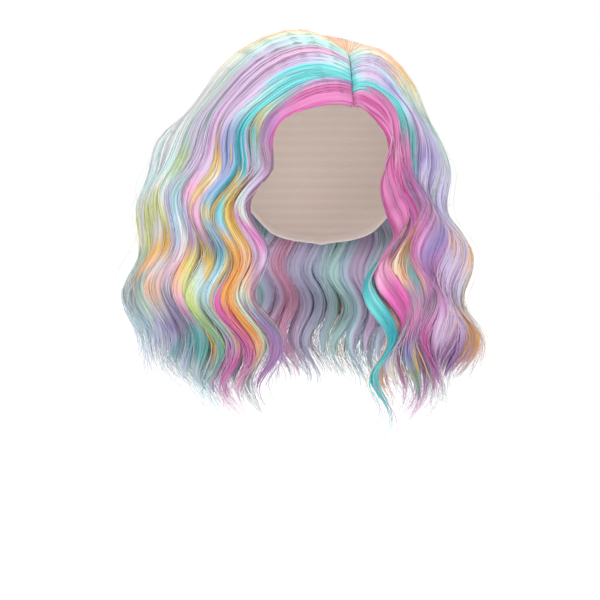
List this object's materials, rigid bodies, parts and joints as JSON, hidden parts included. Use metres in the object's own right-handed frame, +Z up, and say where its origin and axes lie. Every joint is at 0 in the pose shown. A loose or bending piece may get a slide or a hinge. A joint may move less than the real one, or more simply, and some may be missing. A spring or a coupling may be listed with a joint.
{
  "type": "curly bob wig",
  "caption": "Shoulder-length wavy bob wig with a side parting, in pastel rainbow locks of synthetic hair on a hollow foundation cap.",
  "frame": {"origin": "inner face of the foundation cap at the crown, where the top of the head carries it", "axes": "+Z up along the wearer's height, -Y the way the face looks, +X to the right of someone who faces the wearer"},
  "size_m": [0.3011, 0.2447, 0.324],
  "materials": {
    "cap_net": "fine stretch net, matte",
    "parting_skin": "matte skin-toned strip",
    "hair_pink": "satin synthetic hair fibre",
    "hair_purple": "satin synthetic hair fibre",
    "hair_mauve": "satin synthetic hair fibre",
    "hair_lilac": "satin synthetic hair fibre",
    "hair_lavender": "satin synthetic hair fibre",
    "hair_turquoise": "satin synthetic hair fibre",
    "hair_teal": "satin synthetic hair fibre",
    "hair_sky": "satin synthetic hair fibre",
    "hair_mint": "satin synthetic hair fibre",
    "hair_green": "satin synthetic hair fibre",
    "hair_gold": "satin synthetic hair fibre",
    "hair_orange": "satin synthetic hair fibre"
  },
  "bodies": {
    "root": {"foundation_cap": "cap_net", "parting_strip": "parting_skin", "left_lock_01": "hair_purple", "left_lock_02": "hair_gold", "left_lock_03": "hair_orange", "left_lock_04": "hair_pink", "left_lock_05": "hair_turquoise", "left_lock_06": "hair_green", "left_lock_07": "hair_mauve", "left_lock_08": "hair_lavender", "left_lock_09": "hair_mint", "left_lock_10": "hair_sky", "left_lock_11": "hair_gold", "back_lock_01": "hair_mint", "back_lock_02": "hair_lavender", "back_lock_03": "hair_sky", "back_lock_04": "hair_pink", "back_lock_05": "hair_lavender", "back_lock_06": "hair_gold", "back_lock_07": "hair_turquoise", "back_lock_08": "hair_mauve", "back_lock_09": "hair_mint", "right_lock_08": "hair_sky", "right_lock_07": "hair_gold", "right_lock_06": "hair_lavender", "right_lock_05": "hair_lilac", "right_lock_04": "hair_mauve", "right_lock_03": "hair_pink", "right_lock_02": "hair_mauve", "right_lock_01": "hair_pink", "right_lock_00": "hair_turquoise", "under_lock_01": "hair_teal", "under_lock_02": "hair_teal", "under_lock_03": "hair_sky", "under_lock_04": "hair_mint", "under_lock_05": "hair_lavender", "under_lock_06": "hair_sky", "under_lock_07": "hair_lilac", "under_lock_08": "hair_mint", "under_lock_09": "hair_mauve", "under_lock_10": "hair_gold"}
  },
  "joints": []
}
